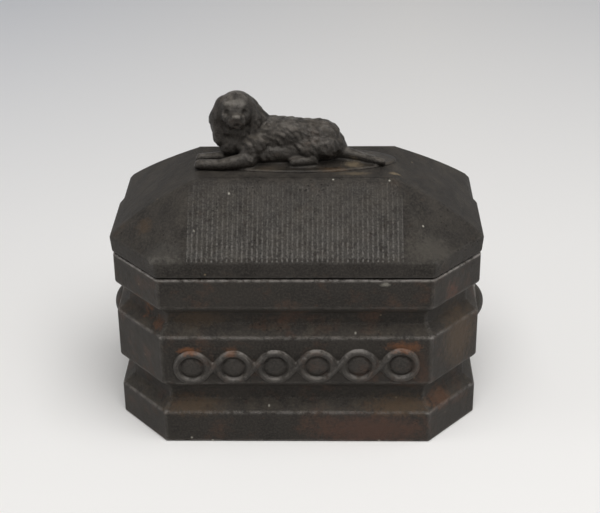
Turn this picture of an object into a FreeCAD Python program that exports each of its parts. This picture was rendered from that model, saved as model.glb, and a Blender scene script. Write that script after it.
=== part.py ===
import FreeCAD, Part
import math
import os
import Sketcher

# Cast iron match box with a hinged, hipped lid and a dog lying on it.
# Millimetres, +Z up, +X to the right, the front faces -Y. The origin is the centre of the base.

doc = FreeCAD.newDocument("match_box")
sheet = doc.addObject("Spreadsheet::Sheet", "sizes")

sizes = {
    # outline of the lid seen from above: a rectangle with its two front corners cut off
    "lidLength": 115.6,
    "lidDepth": 62.8,
    "frontFace": 83.8,
    "cornerDepth": 18.3,
    # lid: an upright rim, a hipped roof with swelling ends, and a flat top for the dog
    "seatGap": 0.3,
    "rimHeight": 5.3,
    "rimDraft": 0.5,
    "roofRise": 19.0,
    "plateauLength": 61.0,
    "plateauSetback": 18.8,
    "plateauRearSetback": 17.8,
    "plateauCorner": 0.6,
    "endBulge": 2.2,
    "rimWall": 3.4,
    "roofWall": 3.0,
    "innerTopInset": 1.2,
    "rearStep": 0.9,
    "rearStepStart": 43.0,
    # striker: fine upright grooves down the front slope of the lid
    "strikerPitch": 1.5,
    "strikerGrooves": 43,
    "strikerGrooveWidth": 0.8,
    "strikerGrooveDepth": 0.35,
    "strikerMargin": 1.6,
    # box: three bands and two grooves, counted from the base up
    "overhang": 0.7,
    "boxHeight": 58.4,
    "baseBand": 10.8,
    "lowerGroove": 11.0,
    "middleBand": 16.1,
    "upperGroove": 10.3,
    "grooveDepth": 3.8,
    "grooveSlope": 3.3,
    "edgeRound": 0.8,
    "jointDepth": 1.0,
    "boxWall": 2.8,
    "boxFloor": 4.0,
    # guilloche on the front of the middle band
    "roundelCount": 6,
    "roundelPitch": 12.9,
    "ringRadius": 5.8,
    "ringWidth": 1.5,
    "buttonRadius": 3.2,
    "reliefHeight": 1.0,
    "guillocheDrop": 1.9,
    "guillocheTilt": 0.9,
    # domed boss on each end of the middle band
    "bossRadius": 6.4,
    "bossHeight": 3.8,
    "bossBack": 8.0,
    # hinge: a pin behind the box through two box lugs and two lid lugs
    "pinRadius": 1.2,
    "pinClearance": 0.08,
    "pinOverhang": 1.4,
    "lugRadius": 2.8,
    "hingeBack": 3.4,
    "hingeDrop": 0.4,
    "lidLugStart": 16.0,
    "lidLugWidth": 5.0,
    "lugGap": 0.4,
    "boxLugWidth": 5.6,
    "boxLugFoot": 8.6,
    "openAngle": 105.0,
    "heelReach": 5.2,
    "heelClearance": 0.15,
    # screws that hold the dog
    "screwRadius": 2.0,
    "tappedClearance": 0.05,
    "screwHoleClearance": 0.25,
    "screwBite": 6.0,
    "screwHeadRadius": 3.6,
    "screwHeadHeight": 2.0,
    "screwSlot": 1.0,
    "leftScrewPlace": -14.0,
    "rightScrewPlace": 7.0,
    "screwBack": 3.0,
    # dog and its oval ground
    "groundLength": 62.0,
    "groundDepth": 21.0,
    "groundHeight": 1.4,
    "groundSlant": 2.2,
    "groundBack": 1.0,
    "dogSize": 1.0,
    "dogRight": -3.5,
    "dogBack": 3.0,
}
for line, (alias, value) in enumerate(sizes.items(), start=1):
    sheet.set("A%d" % line, alias)
    sheet.set("B%d" % line, str(value))
    sheet.setAlias("B%d" % line, alias)
doc.recompute()

# Places that several pieces share, as expressions over the sheet.
rimBottom = "(sizes.boxHeight + sizes.seatGap)"
rimTop = "(sizes.boxHeight + sizes.seatGap + sizes.rimHeight)"
roofTop = "(sizes.boxHeight + sizes.seatGap + sizes.rimHeight + sizes.roofRise)"
halfLength = "(sizes.lidLength / 2)"
halfDepth = "(sizes.lidDepth / 2)"
cornerTurn = "atan(sizes.cornerDepth / (sizes.lidLength / 2 - sizes.frontFace / 2))"
boxRear = "(sizes.lidDepth / 2 - sizes.overhang)"
hingeY = "(sizes.lidDepth / 2 + sizes.hingeBack)"
hingeZ = "(sizes.boxHeight - sizes.hingeDrop)"
boxLugStart = "(sizes.lidLugStart + sizes.lidLugWidth + sizes.lugGap)"
boxLugEnd = "(sizes.lidLugStart + sizes.lidLugWidth + sizes.lugGap + sizes.boxLugWidth)"
plateauFront = "(sizes.lidDepth / 2 - sizes.plateauSetback)"
ceiling = "(sizes.boxHeight + sizes.seatGap + sizes.rimHeight + sizes.roofRise - sizes.roofWall)"

# Where the flat webs and the heel leave the round of a hinge lug.
boxWebTurn = "30 deg"
lidWebTurn = "40 deg"
heelSpread = "60 deg"

# Part of a screw head's height that is rounded.
headDomeShare = "0.8"

# The roof and its hollow are lofted through this many equal steps.
roofSteps = 4


def number(expression):
    return float(sheet.evalExpression(expression))


def originFeature(body, role):
    for feature in body.Origin.OriginFeatures:
        if feature.Role == role:
            return feature
    raise ValueError(role)


def newBody(label):
    body = doc.addObject("PartDesign::Body", label)
    body.Label = label
    return body


def newSketch(body, name, role, offset="0"):
    """A sketch on one of the body's own planes, moved along that plane's normal."""
    sketch = body.newObject("Sketcher::SketchObject", name)
    sketch.AttachmentSupport = [(originFeature(body, role), "")]
    sketch.MapMode = "FlatFace"
    sketch.setExpression("AttachmentOffset.Base.z", offset)
    doc.recompute()
    return sketch


def dimension(sketch, kind, places, expression):
    """Add a constraint whose value follows the sheet."""
    index = sketch.addConstraint(Sketcher.Constraint(kind, *places, number(expression)))
    sketch.setExpression("Constraints[%d]" % index, expression)


def closedPolygon(sketch, points):
    """Draw a closed polygon through points given as (x, y) expressions, each point fixed by the sheet."""
    corners = [FreeCAD.Vector(number(x), number(y), 0) for x, y in points]
    first = sketch.GeometryCount
    count = len(corners)
    for index, corner in enumerate(corners):
        sketch.addGeometry(Part.LineSegment(corner, corners[(index + 1) % count]), False)
    for index in range(count):
        after = first + (index + 1) % count
        sketch.addConstraint(Sketcher.Constraint("Coincident", first + index, 2, after, 1))
    for index, (x, y) in enumerate(points):
        dimension(sketch, "DistanceX", (-1, 1, first + index, 1), x)
        dimension(sketch, "DistanceY", (-1, 1, first + index, 1), y)


def circle(sketch, x, y, radius):
    centre = FreeCAD.Vector(number(x), number(y), 0)
    index = sketch.addGeometry(Part.Circle(centre, FreeCAD.Vector(0, 0, 1), number(radius)), False)
    dimension(sketch, "DistanceX", (-1, 1, index, 3), x)
    dimension(sketch, "DistanceY", (-1, 1, index, 3), y)
    dimension(sketch, "Radius", (index,), radius)


def outline(body, name, level, front, frontHalf, corner, half, rear):
    """One level of the box or lid: a rectangle with its two front corners cut off."""
    sketch = newSketch(body, name, "XY_Plane", level)
    points = [
        ("-(%s)" % frontHalf, "-(%s)" % front),
        (frontHalf, "-(%s)" % front),
        (half, "-(%s)" % corner),
        (half, rear),
        ("-(%s)" % half, rear),
        ("-(%s)" % half, "-(%s)" % corner),
    ]
    closedPolygon(sketch, points)
    return sketch


def insetOutline(body, name, level, inset):
    """The lid's outline moved inwards by an even distance all round."""
    return outline(
        body, name, level,
        front="%s - (%s)" % (halfDepth, inset),
        frontHalf="sizes.frontFace / 2 - (%s) * tan(%s / 2)" % (inset, cornerTurn),
        corner="%s - sizes.cornerDepth - (%s) * tan(45 deg - %s / 2)" % (halfDepth, inset, cornerTurn),
        half="%s - (%s)" % (halfLength, inset),
        rear="%s - (%s)" % (halfDepth, inset))


def loft(body, name, kind, sections):
    feature = body.newObject(kind, name)
    feature.Profile = sections[0]
    feature.Sections = sections[1:]
    feature.Ruled = True
    return feature


def pad(body, name, sketch, length, reverse=False):
    feature = body.newObject("PartDesign::Pad", name)
    feature.Profile = sketch
    feature.setExpression("Length", length)
    feature.Reversed = reverse
    return feature


def pocket(body, name, sketch, length, reverse=False):
    feature = body.newObject("PartDesign::Pocket", name)
    feature.Profile = sketch
    feature.setExpression("Length", length)
    feature.Reversed = reverse
    return feature


def mirrorAcrossMiddle(body, name, features):
    feature = body.newObject("PartDesign::Mirrored", name)
    feature.Originals = features
    feature.MirrorPlane = (originFeature(body, "YZ_Plane"), [""])
    body.Tip = feature
    doc.recompute()
    return feature


def row(body, name, features, axis, length, copies):
    """Repeat features evenly along an axis."""
    feature = body.newObject("PartDesign::LinearPattern", name)
    feature.Originals = features
    feature.Direction = axis
    feature.setExpression("Length", length)
    feature.setExpression("Occurrences", copies)
    body.Tip = feature
    doc.recompute()
    return feature


# Box: one casting, drawn as a loft through the levels of its bands and grooves.

def bandLevels():
    """(height, inset) of each level of the box's outside, from the base up."""
    outside = "sizes.overhang"
    floorOfGroove = "sizes.overhang + sizes.grooveDepth"
    softEdge = "sizes.overhang + sizes.edgeRound"
    levels = [("0", softEdge), ("sizes.edgeRound", outside)]
    height = "sizes.baseBand"
    for groove, band in (("sizes.lowerGroove", "sizes.middleBand"), ("sizes.upperGroove", None)):
        top = "%s + %s" % (height, groove)
        levels.append((height, outside))
        levels.append(("%s + sizes.grooveSlope" % height, floorOfGroove))
        levels.append(("%s - sizes.grooveSlope" % top, floorOfGroove))
        levels.append((top, outside))
        if band:
            height = "%s + %s" % (top, band)
    levels.append(("sizes.boxHeight - sizes.edgeRound", outside))
    levels.append(("sizes.boxHeight", softEdge))
    return levels


def addGuilloche(body):
    """Roundels on the front of the middle band, with two strands that cross between each and the next."""
    face = "%s - sizes.overhang" % halfDepth
    middle = "sizes.baseBand + sizes.lowerGroove + sizes.middleBand / 2 - sizes.guillocheDrop"
    firstX = "-sizes.roundelPitch * (sizes.roundelCount - 1) / 2"
    run = "sizes.roundelPitch * (sizes.roundelCount - 1)"
    thickness = "sizes.reliefHeight + sizes.jointDepth"

    def reliefSketch(name):
        sketch = newSketch(body, name, "XZ_Plane", "%s - sizes.jointDepth" % face)
        sketch.setExpression("AttachmentOffset.Base.y", middle)
        sketch.setExpression("AttachmentOffset.Rotation.Angle", "sizes.guillocheTilt")
        return sketch

    rings = reliefSketch("roundelRing")
    circle(rings, firstX, "0", "sizes.ringRadius")
    circle(rings, firstX, "0", "sizes.ringRadius - sizes.ringWidth")
    ringPad = pad(body, "ringRelief", rings, thickness)
    doc.recompute()
    row(body, "ringRow", [ringPad], (rings, ["H_Axis"]), run, "sizes.roundelCount")

    buttons = reliefSketch("roundelButton")
    circle(buttons, firstX, "0", "sizes.buttonRadius")
    buttonPad = pad(body, "buttonRelief", buttons, thickness)
    doc.recompute()
    row(body, "buttonRow", [buttonPad], (buttons, ["H_Axis"]), run, "sizes.roundelCount")

    middleRadius = "(sizes.ringRadius - sizes.ringWidth / 2)"
    slope = "asin(2 * %s / sizes.roundelPitch)" % middleRadius
    shorterRun = "sizes.roundelPitch * (sizes.roundelCount - 2)"
    along = "(%s * sin(%s))" % (middleRadius, slope)
    across = "(%s * cos(%s))" % (middleRadius, slope)
    sideX = "(sizes.ringWidth / 2 * sin(%s))" % slope
    sideY = "(sizes.ringWidth / 2 * cos(%s))" % slope
    lowX = "%s + %s" % (firstX, along)
    highX = "%s + sizes.roundelPitch - %s" % (firstX, along)
    for name, turn in (("rising", ""), ("falling", "-")):
        strand = reliefSketch(name + "Strand")
        points = [
            ("%s + %s" % (lowX, sideX), "%s(-%s - %s)" % (turn, across, sideY)),
            ("%s + %s" % (highX, sideX), "%s(%s - %s)" % (turn, across, sideY)),
            ("%s - %s" % (highX, sideX), "%s(%s + %s)" % (turn, across, sideY)),
            ("%s - %s" % (lowX, sideX), "%s(-%s + %s)" % (turn, across, sideY)),
        ]
        closedPolygon(strand, points)
        strandPad = pad(body, name + "Relief", strand, thickness)
        doc.recompute()
        row(body, name + "Row", [strandPad], (strand, ["H_Axis"]), shorterRun, "sizes.roundelCount - 1")


def addEndBosses(body):
    """A domed boss on each end, level with the middle band."""
    face = "(%s - sizes.overhang)" % halfLength
    level = "sizes.baseBand + sizes.lowerGroove + sizes.middleBand / 2"
    domeRadius = "((sizes.bossHeight ^ 2 + sizes.bossRadius ^ 2) / (2 * sizes.bossHeight))"
    sketch = newSketch(body, "bossProfile", "XY_Plane", level)
    sketch.setExpression("AttachmentOffset.Base.y", "sizes.bossBack")
    faceX = number(face)
    tipX = number("%s + sizes.bossHeight" % face)
    rim = number("sizes.bossRadius")
    centreX = tipX - number(domeRadius)
    rootX = faceX - number("sizes.jointDepth")
    vector = FreeCAD.Vector
    sketch.addGeometry(Part.LineSegment(vector(rootX, 0, 0), vector(tipX, 0, 0)), False)
    dome = Part.Circle(vector(centreX, 0, 0), vector(0, 0, 1), number(domeRadius))
    endAngle = math.atan2(rim, faceX - centreX)
    sketch.addGeometry(Part.ArcOfCircle(dome, 0, endAngle), False)
    sketch.addGeometry(Part.LineSegment(vector(faceX, rim, 0), vector(rootX, rim, 0)), False)
    sketch.addGeometry(Part.LineSegment(vector(rootX, rim, 0), vector(rootX, 0, 0)), False)
    for first, firstEnd, second, secondEnd in ((0, 2, 1, 1), (1, 2, 2, 1), (2, 2, 3, 1), (3, 2, 0, 1)):
        sketch.addConstraint(Sketcher.Constraint("Coincident", first, firstEnd, second, secondEnd))
    sketch.addConstraint(Sketcher.Constraint("PointOnObject", 0, 1, -1))
    sketch.addConstraint(Sketcher.Constraint("Horizontal", 0))
    sketch.addConstraint(Sketcher.Constraint("PointOnObject", 1, 3, -1))
    sketch.addConstraint(Sketcher.Constraint("Horizontal", 2))
    sketch.addConstraint(Sketcher.Constraint("Vertical", 3))
    dimension(sketch, "DistanceX", (-1, 1, 0, 1), "%s - sizes.jointDepth" % face)
    dimension(sketch, "DistanceX", (-1, 1, 0, 2), "%s + sizes.bossHeight" % face)
    dimension(sketch, "DistanceX", (-1, 1, 1, 2), face)
    dimension(sketch, "DistanceY", (-1, 1, 1, 2), "sizes.bossRadius")
    boss = body.newObject("PartDesign::Revolution", "boss")
    boss.Profile = sketch
    boss.ReferenceAxis = (sketch, ["H_Axis"])
    boss.Angle = 360
    doc.recompute()
    mirrorAcrossMiddle(body, "otherBoss", [boss])


def addBoxLugs(body):
    """Two lugs on the back wall carry the pin outside the lid's own lugs."""
    barrel = newSketch(body, "boxLugBarrel", "YZ_Plane", boxLugStart)
    circle(barrel, hingeY, hingeZ, "sizes.lugRadius")
    barrelPad = pad(body, "boxLugBarrelPad", barrel, "sizes.boxLugWidth")
    web = newSketch(body, "boxLugWeb", "YZ_Plane", boxLugStart)
    intoWall = "%s - sizes.jointDepth" % boxRear
    points = [
        (intoWall, "%s - sizes.boxLugFoot" % hingeZ),
        (boxRear, "%s - sizes.boxLugFoot" % hingeZ),
        ("%s + sizes.lugRadius * cos(%s)" % (hingeY, boxWebTurn),
         "%s - sizes.lugRadius * sin(%s)" % (hingeZ, boxWebTurn)),
        (hingeY, hingeZ),
        (hingeY, "%s - sizes.edgeRound" % hingeZ),
        (intoWall, "%s - sizes.edgeRound" % hingeZ),
    ]
    closedPolygon(web, points)
    webPad = pad(body, "boxLugWebPad", web, "sizes.boxLugWidth")
    doc.recompute()
    bore = newSketch(body, "boxLugBore", "YZ_Plane", boxLugStart)
    circle(bore, hingeY, hingeZ, "sizes.pinRadius + sizes.pinClearance")
    boreCut = pocket(body, "boxLugBoreCut", bore, "sizes.boxLugWidth", reverse=True)
    doc.recompute()
    mirrorAcrossMiddle(body, "otherBoxLug", [barrelPad, webPad, boreCut])


def makeBox():
    body = newBody("box_body")
    sections = []
    for index, (height, inset) in enumerate(bandLevels()):
        sections.append(insetOutline(body, "boxLevel%d" % index, height, inset))
    loft(body, "bandedBox", "PartDesign::AdditiveLoft", sections)
    doc.recompute()
    insideInset = "sizes.overhang + sizes.grooveDepth + sizes.boxWall"
    inside = insetOutline(body, "inside", "sizes.boxHeight", insideInset)
    pocket(body, "matchSpace", inside, "sizes.boxHeight - sizes.boxFloor")
    doc.recompute()
    addGuilloche(body)
    addEndBosses(body)
    addBoxLugs(body)
    return body


# Lid: a hollow casting with the same outline, hipped up to a flat top.


def roofLevel(body, name, step, innerTop=None):
    """A level of the roof, its ends swelling between rim and flat top; innerTop makes the hollow's."""
    part = "(%d / %d)" % (step, roofSteps)
    if innerTop is None:
        level = "%s + sizes.roofRise * %s" % (rimTop, part)
        inset = "0"
    else:
        eaves = "(%s - sizes.edgeRound)" % rimTop
        level = "%s + (%s - %s) * %s" % (eaves, innerTop, eaves, part)
        inset = "(sizes.rimWall + (sizes.innerTopInset - sizes.rimWall) * %s)" % part
    flatHalf = "(sizes.plateauLength / 2)"
    topCorner = "(%s - sizes.plateauCorner)" % plateauFront
    frontHalf = "(sizes.frontFace / 2 + (%s - sizes.plateauCorner - sizes.frontFace / 2) * %s)" % (
        flatHalf, part)
    corner = "(%s - sizes.cornerDepth + (%s - %s + sizes.cornerDepth) * %s)" % (
        halfDepth, topCorner, halfDepth, part)
    swell = "4 * sizes.endBulge * %s * (1 - %s)" % (part, part)
    half = "(%s + (%s - %s) * %s + %s)" % (halfLength, flatHalf, halfLength, part, swell)
    return outline(
        body, name, level,
        front="%s - sizes.plateauSetback * %s - %s" % (halfDepth, part, inset),
        frontHalf="%s - %s * tan(%s / 2)" % (frontHalf, inset, cornerTurn),
        corner="%s - %s * tan(45 deg - %s / 2)" % (corner, inset, cornerTurn),
        half="%s - %s" % (half, inset),
        rear="%s - sizes.plateauRearSetback * %s - %s" % (halfDepth, part, inset))


def addRearStep(body):
    """Behind the step the ends of the lid are set in a little."""
    for name, side in (("right", ""), ("left", "-")):
        sketch = newSketch(body, name + "Step", "XY_Plane", roofTop)
        stepStart = "(sizes.rearStepStart - %s)" % halfDepth
        inner = "%s(%s - sizes.rearStep)" % (side, halfLength)
        outer = "%s(%s + sizes.jointDepth)" % (side, halfLength)
        behind = "%s + sizes.jointDepth" % halfDepth
        edge = "%s%s" % (side, halfLength)
        points = [
            (edge, stepStart),
            (outer, stepStart),
            (outer, behind),
            (inner, behind),
            (inner, "%s + sizes.rearStep" % stepStart),
        ]
        closedPolygon(sketch, points)
        pocket(body, name + "StepCut", sketch, "sizes.roofRise + sizes.rimHeight")
        doc.recompute()


def addStriker(body):
    """Fine grooves straight down the front slope, each a V cut across a plane square to the slope."""
    slope = "atan(sizes.roofRise / sizes.plateauSetback)"
    slopeLength = "sqrt(sizes.roofRise ^ 2 + sizes.plateauSetback ^ 2)"
    sketch = body.newObject("Sketcher::SketchObject", "strikerProfile")
    sketch.AttachmentSupport = [(originFeature(body, "XZ_Plane"), "")]
    sketch.MapMode = "FlatFace"
    sketch.AttachmentOffset = FreeCAD.Placement(
        FreeCAD.Vector(0, 0, 0), FreeCAD.Rotation(FreeCAD.Vector(1, 0, 0), 1))
    start = "(%s - sizes.strikerMargin * cos(%s))" % (halfDepth, slope)
    startZ = "(%s + sizes.strikerMargin * sin(%s))" % (rimTop, slope)
    sketch.setExpression("AttachmentOffset.Base.y", startZ)
    sketch.setExpression("AttachmentOffset.Base.z", start)
    sketch.setExpression("AttachmentOffset.Rotation.Angle", slope)
    doc.recompute()
    firstX = "-sizes.strikerPitch * (sizes.strikerGrooves - 1) / 2"
    halfWidth = "sizes.strikerGrooveWidth / 2"
    points = [
        ("%s - %s" % (firstX, halfWidth), "0"),
        (firstX, "-sizes.strikerGrooveDepth"),
        ("%s + %s" % (firstX, halfWidth), "0"),
        (firstX, "sizes.strikerGrooveDepth"),
    ]
    closedPolygon(sketch, points)
    groove = pocket(body, "strikerGroove", sketch, "%s - 2 * sizes.strikerMargin" % slopeLength)
    doc.recompute()
    run = "sizes.strikerPitch * (sizes.strikerGrooves - 1)"
    axis = (originFeature(body, "X_Axis"), [""])
    row(body, "strikerRow", [groove], axis, run, "sizes.strikerGrooves")


def addLidLugs(body):
    """Two lugs at the lid's rear rim turn on the pin; their heels stop the lid when it is open."""
    barrel = newSketch(body, "lidLugBarrel", "YZ_Plane", "sizes.lidLugStart")
    circle(barrel, hingeY, hingeZ, "sizes.lugRadius")
    barrelPad = pad(body, "lidLugBarrelPad", barrel, "sizes.lidLugWidth")
    web = newSketch(body, "lidLugWeb", "YZ_Plane", "sizes.lidLugStart")
    intoRim = "%s - sizes.jointDepth" % halfDepth
    seat = "%s + sizes.heelClearance" % rimBottom
    points = [
        (intoRim, seat),
        ("%s - sizes.lugRadius * cos(%s)" % (hingeY, lidWebTurn), seat),
        (hingeY, hingeZ),
        ("%s + sizes.lugRadius * sin(%s)" % (hingeY, lidWebTurn),
         "%s + sizes.lugRadius * cos(%s)" % (hingeZ, lidWebTurn)),
        (intoRim, "%s - sizes.edgeRound" % rimTop),
    ]
    closedPolygon(web, points)
    webPad = pad(body, "lidLugWebPad", web, "sizes.lidLugWidth")
    heel = newSketch(body, "lidLugHeel", "YZ_Plane", "sizes.lidLugStart")
    toWall = "(sizes.hingeBack + sizes.overhang - sizes.heelClearance)"
    heelTurn = "(sizes.openAngle * 1 deg - asin(%s / sizes.heelReach))" % toWall
    tipY = "%s + sizes.heelReach * sin(%s)" % (hingeY, heelTurn)
    tipZ = "%s - sizes.heelReach * cos(%s)" % (hingeZ, heelTurn)
    points = [
        (tipY, tipZ),
        ("%s + sizes.lugRadius * sin(%s + %s)" % (hingeY, heelTurn, heelSpread),
         "%s - sizes.lugRadius * cos(%s + %s)" % (hingeZ, heelTurn, heelSpread)),
        ("%s - sizes.lugRadius * sin(%s)" % (hingeY, heelTurn),
         "%s + sizes.lugRadius * cos(%s)" % (hingeZ, heelTurn)),
        ("%s + sizes.lugRadius * sin(%s - %s)" % (hingeY, heelTurn, heelSpread),
         "%s - sizes.lugRadius * cos(%s - %s)" % (hingeZ, heelTurn, heelSpread)),
    ]
    closedPolygon(heel, points)
    heelPad = pad(body, "lidLugHeelPad", heel, "sizes.lidLugWidth")
    doc.recompute()
    bore = newSketch(body, "lidLugBore", "YZ_Plane", "sizes.lidLugStart")
    circle(bore, hingeY, hingeZ, "sizes.pinRadius + sizes.pinClearance")
    boreCut = pocket(body, "lidLugBoreCut", bore, "sizes.lidLugWidth", reverse=True)
    doc.recompute()
    mirrorAcrossMiddle(body, "otherLidLug", [barrelPad, webPad, heelPad, boreCut])


def addScrewHoles(body):
    sketch = newSketch(body, "screwHoles", "XY_Plane", roofTop)
    for place in ("sizes.leftScrewPlace", "sizes.rightScrewPlace"):
        circle(sketch, place, "sizes.screwBack", "sizes.screwRadius + sizes.screwHoleClearance")
    pocket(body, "screwHoleCuts", sketch, "sizes.roofWall * 2")
    doc.recompute()


def makeLid():
    body = newBody("lid")
    sections = [insetOutline(body, "rimFoot", rimBottom, "sizes.rimDraft")]
    for step in range(roofSteps + 1):
        sections.append(roofLevel(body, "roofLevel%d" % step, step))
    loft(body, "roof", "PartDesign::AdditiveLoft", sections)
    doc.recompute()
    hollow = [insetOutline(body, "hollowFoot", rimBottom, "sizes.rimWall")]
    for step in range(roofSteps + 1):
        hollow.append(roofLevel(body, "hollowLevel%d" % step, step, innerTop=ceiling))
    loft(body, "hollow", "PartDesign::SubtractiveLoft", hollow)
    doc.recompute()
    addRearStep(body)
    addStriker(body)
    addScrewHoles(body)
    addLidLugs(body)
    return body


def makePin():
    body = newBody("hinge_pin")
    sketch = newSketch(body, "pinCircle", "YZ_Plane", "-(%s) - sizes.pinOverhang" % boxLugEnd)
    circle(sketch, hingeY, hingeZ, "sizes.pinRadius")
    rod = pad(body, "rod", sketch, "2 * %s + 2 * sizes.pinOverhang" % boxLugEnd)
    doc.recompute()
    ends = body.newObject("PartDesign::Chamfer", "roundedEnds")
    rims = ["Edge%d" % (i + 1) for i, edge in enumerate(rod.Shape.Edges) if isinstance(edge.Curve, Part.Circle)]
    ends.Base = (rod, rims)
    ends.setExpression("Size", "sizes.pinRadius / 3")
    doc.recompute()
    return body


def makeScrew(label, place):
    """Round-head screw with a slot, from under the flat top up into the dog."""
    body = newBody(label)
    top = "%s + sizes.screwBite - sizes.screwRadius / 4" % roofTop
    shank = newSketch(body, "shankCircle", "XY_Plane", ceiling)
    circle(shank, place, "sizes.screwBack", "sizes.screwRadius")
    pad(body, "shank", shank, "(%s) - %s" % (top, ceiling))
    head = newSketch(body, "headCircle", "XY_Plane", ceiling)
    circle(head, place, "sizes.screwBack", "sizes.screwHeadRadius")
    headPad = pad(body, "head", head, "sizes.screwHeadHeight", reverse=True)
    doc.recompute()
    lowest = number("%s - sizes.screwHeadHeight" % ceiling)
    rims = ["Edge%d" % (i + 1) for i, edge in enumerate(headPad.Shape.Edges)
            if isinstance(edge.Curve, Part.Circle) and abs(edge.CenterOfMass.z - lowest) < 0.01]
    dome = body.newObject("PartDesign::Fillet", "headDome")
    dome.Base = (headPad, rims)
    dome.setExpression("Radius", "sizes.screwHeadHeight * %s" % headDomeShare)
    doc.recompute()
    slot = newSketch(body, "slot", "XY_Plane", "%s - sizes.screwHeadHeight" % ceiling)
    reach = "(sizes.screwHeadRadius + sizes.screwSlot)"
    points = [
        ("%s - %s" % (place, reach), "sizes.screwBack - sizes.screwSlot / 2"),
        ("%s + %s" % (place, reach), "sizes.screwBack - sizes.screwSlot / 2"),
        ("%s + %s" % (place, reach), "sizes.screwBack + sizes.screwSlot / 2"),
        ("%s - %s" % (place, reach), "sizes.screwBack + sizes.screwSlot / 2"),
    ]
    closedPolygon(slot, points)
    pocket(body, "slotCut", slot, "sizes.screwHeadHeight / 2", reverse=True)
    doc.recompute()
    return body


# Dog: tapered round forms joined into one casting. Each form runs from one ball to another:
# (centre, radius, centre, radius), from the middle of the dog's body on the flat top of the lid.

dogForms = {
    "trunk": ((-10.5, 0.2, 8.2), 6.2, (11.6, 0.3, 6.9), 6.0),
    "rump": ((11.6, 0.2, 6.4), 6.0, (15.6, -0.2, 3.7), 3.9),
    "haunch": ((6.6, -3.4, 5.2), 4.2, (12.6, -3.0, 5.4), 4.5),
    "hindFoot": ((2.9, -7.4, 2.0), 1.5, (8.5, -6.4, 2.2), 1.9),
    "shoulder": ((-8.8, -3.4, 6.8), 4.3, (-11.4, -4.6, 3.8), 3.4),
    "nearForeleg": ((-11.0, -6.4, 2.4), 2.2, (-26.0, -6.0, 1.7), 1.7),
    "farForeleg": ((-13.0, -2.2, 2.6), 2.2, (-26.0, -1.8, 1.9), 1.7),
    "chest": ((-16.3, -1.6, 6.0), 4.2, (-12.5, -0.4, 7.6), 5.5),
    "neck": ((-13.4, -0.5, 8.4), 5.3, (-14.6, -1.2, 14.2), 5.1),
    "mane": ((-12.9, 0.3, 17.4), 4.2, (-8.3, 0.3, 11.8), 4.1),
    "skull": ((-15.0, -1.5, 17.2), 5.7, (-14.7, -3.7, 16.7), 5.0),
    "brow": ((-17.2, -4.6, 19.4), 1.8, (-12.4, -4.6, 19.4), 1.8),
    "muzzle": ((-13.9, -5.8, 16.2), 3.3, (-13.8, -7.5, 16.2), 2.5),
    "leftEar": ((-18.6, -1.6, 18.2), 2.7, (-20.4, -1.6, 14.0), 2.9),
    "leftEarTip": ((-20.4, -1.6, 14.0), 2.9, (-19.4, -3.0, 7.8), 2.2),
    "rightEar": ((-10.8, -2.4, 18.0), 2.5, (-9.6, -3.0, 14.0), 2.6),
    "rightEarTip": ((-9.6, -3.0, 14.0), 2.6, (-9.4, -3.8, 10.4), 2.1),
    "tailRoot": ((16.0, -0.5, 2.8), 2.5, (22.5, -2.8, 2.0), 1.7),
    "tailTip": ((22.5, -2.8, 2.0), 1.7, (30.0, -6.2, 1.5), 1.1),
}


def taperedForm(start, startRadius, end, endRadius):
    """Two balls with the cone that touches both, as one turned solid."""
    vector = FreeCAD.Vector
    axis = end - start
    length = axis.Length
    touch = math.acos((startRadius - endRadius) / length)
    lowTouch = vector(startRadius * math.sin(touch), 0, startRadius * math.cos(touch))
    highTouch = vector(endRadius * math.sin(touch), 0, length + endRadius * math.cos(touch))
    lowTurn = (touch + math.pi) / 2
    lowMiddle = vector(startRadius * math.sin(lowTurn), 0, startRadius * math.cos(lowTurn))
    highMiddle = vector(endRadius * math.sin(touch / 2), 0, length + endRadius * math.cos(touch / 2))
    lowEnd = vector(0, 0, -startRadius)
    highEnd = vector(0, 0, length + endRadius)
    profile = Part.Wire([
        Part.Arc(lowEnd, lowMiddle, lowTouch).toShape(),
        Part.LineSegment(lowTouch, highTouch).toShape(),
        Part.Arc(highTouch, highMiddle, highEnd).toShape(),
        Part.LineSegment(highEnd, lowEnd).toShape(),
    ])
    solid = Part.Face(profile).revolve(vector(0, 0, 0), vector(0, 0, 1), 360)
    solid.Placement = FreeCAD.Placement(start, FreeCAD.Rotation(vector(0, 0, 1), axis))
    return solid


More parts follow.
